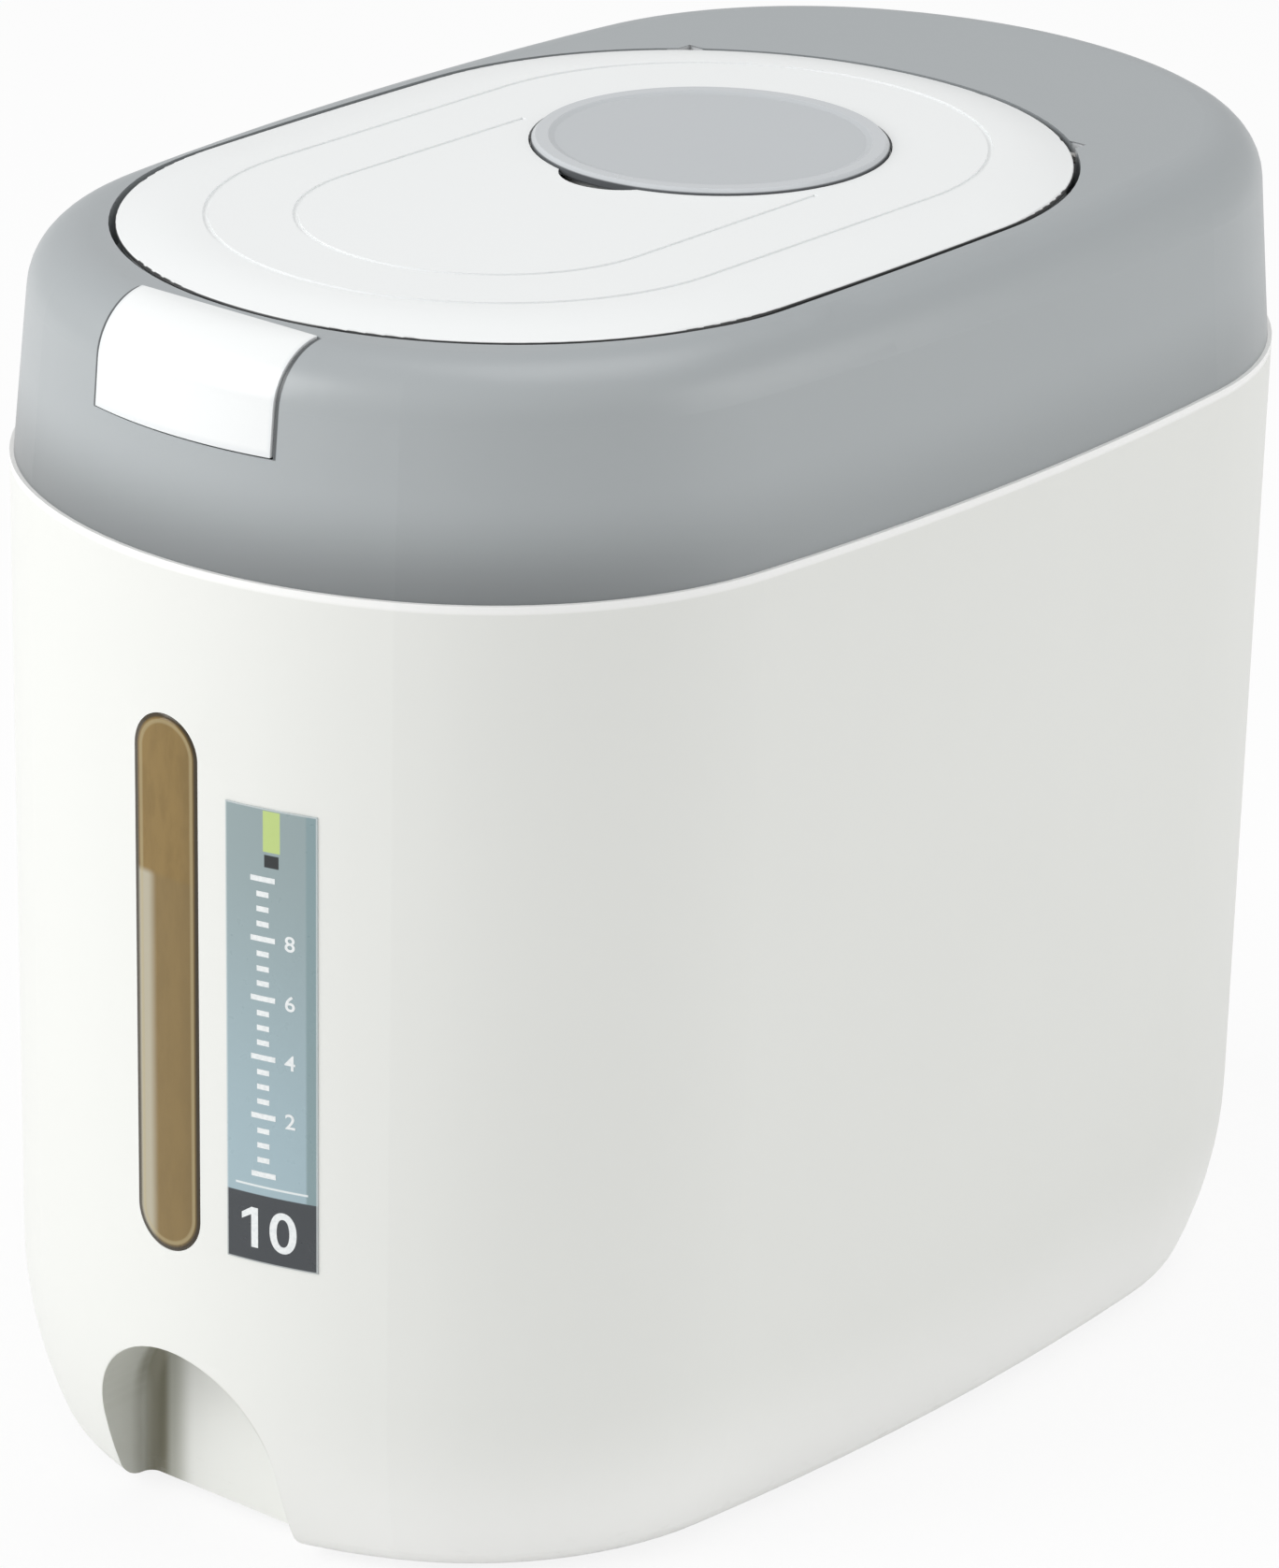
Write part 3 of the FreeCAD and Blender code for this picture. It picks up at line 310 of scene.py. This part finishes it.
def inside_the_handhold(x, y, z):
    """1 on the handhold's own walls, 0 on the rest of the tub."""
    alcove = 1 - from_handhold_axis(x, z).step(HANDHOLD_HALF - 0.0004, HANDHOLD_HALF + 0.0006)
    alcove = alcove * y.step(FRONT_MOST + 0.0010, FRONT_MOST + 0.0040)
    deepest = FRONT_MOST + HANDHOLD_DEPTH
    return alcove * (1 - y.step(deepest - 0.0005, deepest + 0.0005))


def handhold_shades(finish, base, alcove):
    """Warm shade on the handhold's left wall, in its left corner and under its arch."""
    x, y, z = finish.axes()
    left = 1 - x.step(-0.0200, -0.0130)
    corner = 1 - abs(x - HANDHOLD_CORNER).step(0.0012, 0.0042)
    corner = corner * y.step(FRONT_MOST + 0.0170, FRONT_MOST + 0.0210)
    soffit = from_handhold_axis(x, z).step(HANDHOLD_HALF - 0.0012, HANDHOLD_HALF - 0.0002)
    soffit = soffit * x.step(-0.008, 0.002) * z.step(0.026, 0.036)
    base = finish.mix(alcove * left * 0.85, base, srgb(172, 173, 162))
    base = finish.mix(alcove * corner * 0.9, base, srgb(126, 123, 104))
    return finish.mix(alcove * soffit * 0.7, base, srgb(160, 160, 150))


def tub_marks(finish, base, rough):
    """A foot painted lighter at the right, as if lit by the floor, and rubbed at its edge, the
    handhold's painted shades, and a painted highlight with real gloss along the rim."""
    x, y, z = finish.axes()
    alcove = inside_the_handhold(x, y, z)
    floor_light = (1 - z.step(0.004, 0.050)) * (1 - alcove) * x.step(-0.010, 0.060)
    scuff = finish.noise(420.0, 4.0, 0.65, (0.35, 0.35, 1.0)).step(0.55, 0.75)
    foot = 1 - z.step(0.002, 0.012)
    rim = z.step(RIM_TOP - 0.0022, RIM_TOP - 0.0014)
    # Painted light: the foot at the right is lightened where the floor's light would reach it.
    base = finish.mix(floor_light * 0.8, base, srgb(252, 252, 250))
    base = handhold_shades(finish, base, alcove)
    # Painted highlight: the rim band is whitened; its lower roughness is real gloss.
    base = finish.mix(rim * 0.8, base, srgb(253, 253, 252))
    base = finish.mix(foot * scuff * 0.35, base, srgb(196, 194, 188))
    return base, rough - rim * 0.16 + foot * scuff * 0.1


dress("tub", moulded("tub_white", srgb(234, 235, 231), 0.34, 0.46, extra=tub_marks))


# ---- sight window ----------------------------------------------------------------------
# A strip of smoke tinted plastic pushed in from behind and welded by its flange. Its
# edge is rounded over; painted shade darkens its outline over the flange, with a painted
# highlight just inside. The rice behind it is a change of shade in the strip, with a painted
# pale streak of daylight on its left and painted shade towards its right.
WINDOW_FLANGE = 0.0040
WINDOW_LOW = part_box("sight_window")[0][2] + WINDOW_FLANGE
WINDOW_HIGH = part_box("sight_window")[1][2] - WINDOW_FLANGE
WINDOW_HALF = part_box("sight_window")[1][0] - WINDOW_FLANGE
RICE_LEVEL = 0.1665


def smoked():
    """Smoke tinted plastic, nearly opaque, with the rice's level showing through, and painted
    highlights and shade.
    """
    finish = Finish("smoke_clear")
    x, y, z = finish.axes()
    middle = (WINDOW_LOW + WINDOW_HIGH) / 2
    reach = (WINDOW_HIGH - WINDOW_LOW) / 2 - WINDOW_HALF
    over = (abs(z - middle) - reach).max(0.0)
    from_axis = (x * x + over * over).root()
    inside = -from_axis + WINDOW_HALF
    edge = 1 - inside.step(0.0006, 0.0014)
    painted_edge_highlight = inside.step(0.0013, 0.0017) * (1 - inside.step(0.0021, 0.0027))
    grains = finish.noise(160.0, 3.0, 0.6, (1.6, 1.0, 0.5))
    level = 1 - z.step(RICE_LEVEL - 0.0010, RICE_LEVEL + 0.0010)
    left = 1 - x.step(-0.0058, -0.0026)
    base = finish.mix(grains.step(0.35, 0.7), srgb(140, 114, 62), srgb(130, 105, 54))
    base = finish.mix(level * 0.5, base, srgb(128, 108, 68))
    # Painted highlight: a pale streak of daylight down the left, below the rice's level.
    base = finish.mix(level * left * 0.85, base, srgb(190, 184, 164))
    # Painted shade: darker towards the right.
    base = finish.mix(x.step(0.003, 0.0085) * 0.4, base, srgb(112, 92, 54))
    # Painted highlight: a pale line just inside the rounded edge.
    base = finish.mix(painted_edge_highlight * 0.45, base, srgb(186, 172, 132))
    # Painted shade: a dark outline along the rounded edge over the flange.
    base = finish.mix(edge * 0.95, base, srgb(62, 52, 34))
    dome = inside.step(0.0, 0.0016)
    return finish.surface(Base_Color=base, Roughness=grains * 0.08 + 0.16, Coat_Weight=0.25,
                          Coat_Roughness=0.06, Specular_IOR_Level=0.35,
                          Alpha=1 - (1 - edge) * 0.06,
                          Normal=finish.bump(dome, 0.0012, 1.0))


dress("sight_window", smoked())


# ---- capacity strip --------------------------------------------------------------------
# A thin printed film stuck beside the window: a grey-green field, a lime tab at the top,
# a scale of ticks down the middle and a dark foot that carries the plain capacity figure.
FILM_LEFT, FILM_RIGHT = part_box("capacity_label")[0][0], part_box("capacity_label")[1][0]
FILM_LOW, FILM_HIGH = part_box("capacity_label")[0][2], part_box("capacity_label")[1][2]
TICK_MIDDLE = 0.0266


def printed():
    """The film's printed fields, each a soft-edged bar in x and z."""
    finish = Finish("printed_film")
    x, y, z = finish.axes()
    blur = 0.00012

    def bar(value, low, high):
        return value.step(low - blur, low + blur) * (1 - value.step(high - blur, high + blur))

    foot_top = FILM_LOW + 0.0170
    field = finish.mix(z.step(foot_top - 0.0005, FILM_HIGH + 0.0005),
                       srgb(160, 182, 190), srgb(146, 162, 164))
    field = finish.mix(x.step(FILM_RIGHT - 0.0029, FILM_RIGHT - 0.0022), field,
                       srgb(132, 154, 158))
    lime = bar(x, 0.0267, 0.0308) * bar(z, FILM_HIGH - 0.0103, FILM_HIGH - 0.0005)
    tab = bar(x, 0.0270, 0.0305) * bar(z, FILM_HIGH - 0.0140, FILM_HIGH - 0.0110)
    foot = 1 - z.step(foot_top - 0.0003, foot_top)
    rule = bar(z, foot_top + 0.0017, foot_top + 0.0022)
    rule = rule * bar(x, FILM_LEFT + 0.0023, FILM_RIGHT - 0.0022)
    base = finish.mix(lime, field, srgb(188, 208, 130))
    base = finish.mix(tab, base, srgb(38, 42, 44))
    base = finish.mix(rule, base, srgb(226, 232, 232))
    base = finish.mix(foot, base, srgb(62, 66, 70))
    border = 1 - bar(x, FILM_LEFT + 0.0003, FILM_RIGHT - 0.0003) * bar(
        z, FILM_LOW + 0.0003, FILM_HIGH - 0.0003)
    base = finish.mix(border * 0.6, base, srgb(214, 220, 220))
    fine = finish.noise(300.0, 2.0)
    return finish.surface(Base_Color=base, Roughness=fine * 0.10 + 0.24,
                          Normal=finish.bump(fine, 0.00002, 0.15))


dress("capacity_label", printed())


# ---- scale print on the strip ----------------------------------------------------------
# White ink on the film: evenly spaced ticks with a longer one at every fourth, and plain
# figures, laid on the curve of the tub's front and a few hundredths proud of the film.
FRONT_RADIUS = 0.114
FRONT_AXIS = FRONT_MOST + FRONT_RADIUS
FRONT_LEAN = 0.0102
INK_HALF = 0.00002
INK_STAND = 0.00028
TICK_LOW = 0.1005
TICK_STEP = 0.0036


def front_of_tub(x, z):
    """The tub's front surface: an arc about an upright axis, leaning in towards its foot."""
    radius = FRONT_RADIUS - (RIM_TOP - z) * FRONT_LEAN
    return FRONT_AXIS - math.sqrt(radius * radius - x * x)


def ink_piece(name, mesh, material):
    """Wraps flat artwork (x across, y outwards, z up) round the front and inks it."""
    for vertex in mesh.vertices:
        x, out, z = vertex.co
        vertex.co.y = front_of_tub(x, z) - INK_STAND - out
    mesh.materials.clear()
    mesh.materials.append(material)
    piece = bpy.data.objects.new(name, mesh)
    bpy.context.scene.collection.objects.link(piece)
    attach(piece, "bin_body")


def tick_tree(count, step, width, long_width, height, every):
    """Geometry Nodes tree that sets a row of printed ticks one above another."""
    tree = bpy.data.node_groups.new("ticks", "GeometryNodeTree")
    inputs = {}
    tree.interface.new_socket("Geometry", in_out="OUTPUT", socket_type="NodeSocketGeometry")
    for label, kind, value in (("Count", "NodeSocketInt", count), ("Step", "NodeSocketFloat", step),
                               ("Width", "NodeSocketFloat", width),
                               ("Long width", "NodeSocketFloat", long_width),
                               ("Height", "NodeSocketFloat", height),
                               ("Every", "NodeSocketInt", every),
                               ("Ink", "NodeSocketMaterial", None)):
        socket = tree.interface.new_socket(label, in_out="INPUT", socket_type=kind)
        if value is not None:
            socket.default_value = value
        inputs[label] = socket.identifier
    new, link = tree.nodes.new, tree.links.new
    given, result = new("NodeGroupInput"), new("NodeGroupOutput")
    row = new("GeometryNodeMeshLine")
    row.mode = "OFFSET"
    link(given.outputs["Count"], row.inputs["Count"])
    offset = new("ShaderNodeCombineXYZ")
    link(given.outputs["Step"], offset.inputs["Z"])
    link(offset.outputs[0], row.inputs["Offset"])
    index = new("GeometryNodeInputIndex")
    rest = new("ShaderNodeMath")
    rest.operation = "MODULO"
    link(index.outputs[0], rest.inputs[0])
    link(given.outputs["Every"], rest.inputs[1])
    first = new("ShaderNodeMath")
    first.operation = "LESS_THAN"
    first.inputs[1].default_value = 0.5
    link(rest.outputs[0], first.inputs[0])
    wide = new("ShaderNodeMix")
    link(first.outputs[0], wide.inputs[0])
    link(given.outputs["Width"], wide.inputs[2])
    link(given.outputs["Long width"], wide.inputs[3])
    size = new("ShaderNodeCombineXYZ")
    size.inputs["Y"].default_value = 2 * INK_HALF
    link(wide.outputs[0], size.inputs["X"])
    link(given.outputs["Height"], size.inputs["Z"])
    tick = new("GeometryNodeMeshCube")
    tick.inputs["Vertices X"].default_value = 5
    copies = new("GeometryNodeInstanceOnPoints")
    link(row.outputs[0], copies.inputs["Points"])
    link(tick.outputs[0], copies.inputs["Instance"])
    link(size.outputs[0], copies.inputs["Scale"])
    real = new("GeometryNodeRealizeInstances")
    ink = new("GeometryNodeSetMaterial")
    link(copies.outputs[0], real.inputs[0])
    link(real.outputs[0], ink.inputs["Geometry"])
    link(given.outputs["Ink"], ink.inputs["Material"])
    link(ink.outputs[0], result.inputs[0])
    return tree, inputs


def white_ink():
    """White ink, a little uneven from the screen it was printed through."""
    finish = Finish("white_ink")
    fine = finish.noise(1200.0, 2.0)
    base = finish.mix(fine.step(0.3, 0.8), srgb(238, 241, 241), srgb(222, 227, 228))
    return finish.surface(Base_Color=base, Roughness=fine * 0.15 + 0.25)


def make_ticks(ink):
    """The scale's ticks, as one plain mesh whose faces point outwards once wrapped."""
    tree, inputs = tick_tree(21, TICK_STEP, 0.0030, 0.0060, 0.0013, 4)
    holder = bpy.data.objects.new("ticks_source", bpy.data.meshes.new("ticks_source"))
    bpy.context.scene.collection.objects.link(holder)
    maker = holder.modifiers.new("ticks", "NODES")
    maker.node_group = tree
    maker[inputs["Ink"]] = ink
    graph = bpy.context.evaluated_depsgraph_get()
    mesh = bpy.data.meshes.new_from_object(holder.evaluated_get(graph))
    bpy.data.objects.remove(holder)
    for vertex in mesh.vertices:
        vertex.co.x += TICK_MIDDLE
        vertex.co.z += TICK_LOW
    mesh.flip_normals()
    ink_piece("scale_ticks", mesh, ink)


def flag_of_one(form):
    """The short slanting flag at the head of the 1, a thin closed wedge on its stem."""
    high = max(vertex.co.y for vertex in form.verts)
    stem = min(vertex.co.x for vertex in form.verts)
    root, tip = stem + 0.0002, stem - 0.0024
    drop, thick = 0.0018, 0.0016
    half = INK_HALF * 0.9
    outline = [(root, high), (tip, high - drop), (tip, high - drop - thick), (root, high - drop)]
    front = [form.verts.new((across, up, half)) for across, up in outline]
    back = [form.verts.new((across, up, -half)) for across, up in outline]
    shell = [form.faces.new(front), form.faces.new(back)]
    for i in range(len(outline)):
        shell.append(form.faces.new((front[i - 1], front[i], back[i], back[i - 1])))
    bmesh.ops.recalc_face_normals(form, faces=shell)


def make_figure(name, text, size, left, low, ink):
    """One plain figure with its lower left corner at (left, low) on the film."""
    curve = bpy.data.curves.new(name, "FONT")
    curve.body = text
    curve.size = size
    curve.extrude = INK_HALF
    curve.offset = size * 0.012
    holder = bpy.data.objects.new(name, curve)
    bpy.context.scene.collection.objects.link(holder)
    graph = bpy.context.evaluated_depsgraph_get()
    mesh = bpy.data.meshes.new_from_object(holder.evaluated_get(graph))
    bpy.data.objects.remove(holder)
    form = bmesh.new()
    form.from_mesh(mesh)
    if text.startswith("1"):
        flag_of_one(form)
    for vertex in form.verts:
        across, up, out = vertex.co
        vertex.co = (left + across, out, low + up)
    form.to_mesh(mesh)
    form.free()
    ink_piece(name, mesh, ink)


ink = white_ink()
make_ticks(ink)
make_figure("figure_capacity", "10", 0.0140, FILM_LEFT + 0.0036, FILM_LOW + 0.0037, ink)
small_figure = 0.0052
half_figure = 0.0018
for amount in (8, 6, 4, 2):
    long_tick = TICK_LOW + amount * 2 * TICK_STEP
    make_figure("figure_%d" % amount, str(amount), small_figure, TICK_MIDDLE + 0.0052,
                long_tick - half_figure, ink)


# ---- cover frame -----------------------------------------------------------------------
# The grey frame that clicks into the tub's rim: satin moulded plastic with a leaning
# wall, a deep soft shoulder and the recess and neck that the lid closes on.
SEAM = 0.2420
BUTTON_HALF, BUTTON_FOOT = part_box("latch_button")[1][0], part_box("latch_button")[0][2]
PIN_LOW, PIN_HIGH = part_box("hinge_pin_left")
HINGE_Y = (PIN_LOW[1] + PIN_HIGH[1]) / 2
HINGE_Z = (PIN_LOW[2] + PIN_HIGH[2]) / 2


def hinge_notches(x, y, z):
    """The round hollows beside the lid's bosses, where their shadow is lifted by painted light."""
    inner, outer = 0.0565, 0.0626
    back = y - HINGE_Y
    up = z - HINGE_Z
    notch = 1 - (back * back + up * up).root().step(0.0045, 0.0048)
    notch = notch * abs(x).step(inner - 0.0005, inner + 0.0005)
    notch = notch * (1 - abs(x).step(outer - 0.0002, outer + 0.0002))
    return notch * z.step(0.2880, 0.2890) * (1 - z.step(0.29395, 0.29415))


def cover_marks(finish, base, rough):
    """Painted shade on the top, towards the seam and in the gap round the button, and
    painted light lifting the shadow in the hinge hollows.
    """
    x, y, z = finish.axes()
    top = z.step(0.286, 0.2935)
    low = 1 - z.step(SEAM - 0.0020, SEAM + 0.0240)
    front = 1 - y.step(-0.1500, -0.0500)
    beside = abs(abs(x) - (BUTTON_HALF + 0.0008)).step(0.0002, 0.0005)
    gap = (1 - beside) * (1 - y.step(-0.1490, -0.1483))
    gap = gap * z.step(BUTTON_FOOT - 0.0007, BUTTON_FOOT - 0.0003)
    # Painted shade: the top of the cover is a darker grey.
    base = finish.mix(top * 0.5, base, srgb(161, 166, 169))
    # Painted shade: darker towards the seam, most at the front.
    base = finish.mix(low * (front * 0.45 + 0.3), base, srgb(102, 105, 106))
    # Painted shade in the gap round the button.
    base = finish.mix(gap * 0.85, base, srgb(62, 65, 67))
    # Painted light: the hinge hollows are lightened to lift their shadow.
    base = finish.mix(hinge_notches(x, y, z) * 0.8, base, srgb(232, 234, 236))
    return base, rough


dress("cover_frame", moulded("cover_grey", srgb(171, 176, 178), 0.28, 0.40, tint=0.01,
                             extra=cover_marks))


# ---- lid -------------------------------------------------------------------------------
# A glossy white panel over a plain white inner moulding, with a soft silicone ring
# between them and the neck; two shallow lines are moulded in its crown.
SCOOP_RADIUS = 0.0141
SCOOP_Y, SCOOP_Z = -0.0160, 0.2981
LID_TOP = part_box("lid_panel")[1][2]
LIP_LOW, LIP_HIGH = 0.2932, 0.2942


def lid_marks(finish, base, rough):
    """Painted shade in the finger scoop, and a painted dark line of shadow under the lip all round
    the edge.
    """
    x, y, z = finish.axes()
    ahead = y - SCOOP_Y
    above = z - SCOOP_Z
    ball = (x * x + ahead * ahead + above * above).root()
    pit = 1 - ball.step(SCOOP_RADIUS - 0.00002, SCOOP_RADIUS + 0.0002)
    pit = pit * (1 - z.step(LID_TOP - 0.0014, LID_TOP))
    lip = z.step(LIP_LOW, LIP_LOW + 0.0002) * (1 - z.step(LIP_HIGH - 0.0002, LIP_HIGH))
    # Painted shade inside the finger scoop.
    base = finish.mix(pit * 0.95, base, srgb(30, 31, 33))
    # Painted shadow: a dark line under the lip all round the edge.
    base = finish.mix(lip * 0.97, base, srgb(16, 17, 18))
    return base, rough + pit * 0.2 + lip * 0.2


dress("lid_panel", moulded("lid_white", srgb(243, 245, 245), 0.26, 0.36, grain=0.000003, tint=0.01,
                           extra=lid_marks))
dress("lid_inner", moulded("inner_white", srgb(230, 232, 231), 0.36, 0.5))


def silicone():
    """Soft translucent ring with a cloudy bloom on its skin."""
    finish = Finish("silicone")
    bloom = finish.noise(240.0, 4.0)
    base = finish.mix(bloom.step(0.3, 0.75), srgb(214, 217, 214), srgb(196, 200, 198))
    return finish.surface(Base_Color=base, Roughness=bloom * 0.2 + 0.38,
                          Subsurface_Weight=0.3, Subsurface_Radius=(0.004, 0.004, 0.004),
                          Normal=finish.bump(bloom, 0.00006, 0.4))


dress("lid_gasket", silicone())


# ---- measuring cup ---------------------------------------------------------------------
# A light grey polypropylene cup kept mouth down in the lid; its base is the round disc on
# top, with a raised rim that is lighter and a little glossier.
CUP_LOW, CUP_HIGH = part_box("measuring_cup")
CUP_Y = (CUP_LOW[1] + CUP_HIGH[1]) / 2
DISC_TOP = CUP_HIGH[2]
DISC_RADIUS = 0.0420


def cup_marks(finish, base, rough):
    """A lighter, glossier rim on the disc, and painted shade along its side against the lid."""
    x, y, z = finish.axes()
    ahead = y - CUP_Y
    out = (x * x + ahead * ahead).root()
    rim = out.step(DISC_RADIUS - 0.0044, DISC_RADIUS - 0.0036)
    rim = rim * z.step(DISC_TOP - 0.0009, DISC_TOP - 0.0003)
    side = out.step(DISC_RADIUS - 0.0002, DISC_RADIUS)
    side = side * (1 - z.step(DISC_TOP - 0.0010, DISC_TOP - 0.0006))
    smear = finish.noise(40.0, 2.0)
    base = finish.mix(rim * 0.4, base, srgb(216, 219, 222))
    # Painted shade: the disc's side is darkened where it stands above the lid.
    base = finish.mix(side * 0.85, base, srgb(70, 73, 77))
    return base, rough - rim * 0.05 + smear * 0.04


dress("measuring_cup", moulded("cup_grey", srgb(192, 196, 199), 0.24, 0.34, tint=0.012,
                               extra=cup_marks))


# ---- latch -----------------------------------------------------------------------------
# A glossy white push button that rocks on a steel pin in the cover's ears; its hook lets
# the lid's tongue go, and a small coil spring behind it brings it back.
def button_marks(finish, base, rough):
    """Painted shade on the border, where the button turns down into its slot."""
    x, y, z = finish.axes()
    side = abs(x).step(BUTTON_HALF - 0.0012, BUTTON_HALF - 0.0001)
    low = 1 - z.step(BUTTON_FOOT + 0.0005, BUTTON_FOOT + 0.0019)
    edge = side.max(low)
    # Painted shade on the button's sides and lower edge.
    return finish.mix(edge * 0.5, base, srgb(222, 226, 228)), rough


dress("latch_button", moulded("button_white", srgb(241, 243, 243), 0.18, 0.28, tint=0.01,
                              extra=button_marks))


def drawn_steel(name, colour, low, high):
    """Bright drawn wire or rod with fine draw lines and a little oil."""
    finish = Finish(name)
    lines = finish.noise(2600.0, 2.0, 0.5, (0.06, 1.0, 1.0))
    oil = finish.noise(300.0, 3.0)
    dark = tuple(level * 0.78 for level in colour[:3]) + (1,)
    base = finish.mix(oil.step(0.4, 0.8), colour, dark)
    return finish.surface(Base_Color=base, Metallic=1.0, Roughness=lines * (high - low) + low,
                          Normal=finish.bump(lines, 0.00002, 0.5))


pin_steel = drawn_steel("pin_steel", (0.66, 0.65, 0.63, 1), 0.18, 0.34)
spring_steel = drawn_steel("spring_steel", (0.52, 0.51, 0.50, 1), 0.24, 0.42)
WELD = 0.000005


def flexing_spring(node):
    """The wound wire of a CAD spring as one welded, smooth mesh that takes the CAD piece's place.
    """
    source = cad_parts[node]
    form = bmesh.new()
    form.from_mesh(source.data)
    form.transform(source.matrix_world)
    bmesh.ops.remove_doubles(form, verts=form.verts, dist=WELD)
    bmesh.ops.recalc_face_normals(form, faces=form.faces)
    for face in form.faces:
        face.smooth = True
    mesh = bpy.data.meshes.new(node + "_wire")
    form.to_mesh(mesh)
    form.free()
    mesh.materials.clear()
    mesh.materials.append(spring_steel)
    piece = bpy.data.objects.new(node + "_wire", mesh)
    bpy.context.scene.collection.objects.link(piece)
    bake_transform(piece)
    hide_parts(node)


dress("latch_pin", pin_steel)
flexing_spring("latch_spring")


# ---- lid hinge -------------------------------------------------------------------------
# Two short steel pins pressed into the cover carry the lid's bosses, and a torsion spring
# on each raises the lid when the button lets it go. The spring's inner leg leans on the
# cover and its outer leg turns with the lid.
for hand, side in (("left", -1), ("right", 1)):
    dress("hinge_pin_" + hand, pin_steel)
    flexing_spring("lid_spring_" + hand)


# ---- rollers and feet ------------------------------------------------------------------
# Dark nylon rollers on pressed-in steel axles at the back, and black rubber feet pushed
# into sockets at the front, so that the bin rolls out when its front is lifted.
def tread(finish, base, rough):
    """Floor dust, thickest where the piece touches the floor."""
    x, y, z = finish.axes()
    dust = finish.noise(500.0, 4.0, 0.7).step(0.45, 0.7) * (1.2 - z.step(0.0, 0.010))
    return finish.mix(dust * 0.4, base, srgb(128, 127, 124)), rough + dust * 0.15


nylon = moulded("nylon", srgb(78, 81, 84), 0.38, 0.52, extra=tread)
rubber = moulded("foot_rubber", srgb(44, 45, 47), 0.6, 0.78, grain=0.00004, extra=tread)
for hand in ("left", "right"):
    dress("rear_wheel_" + hand, nylon)
    dress("wheel_axle_" + hand, pin_steel)
    dress("front_foot_" + hand, rubber)
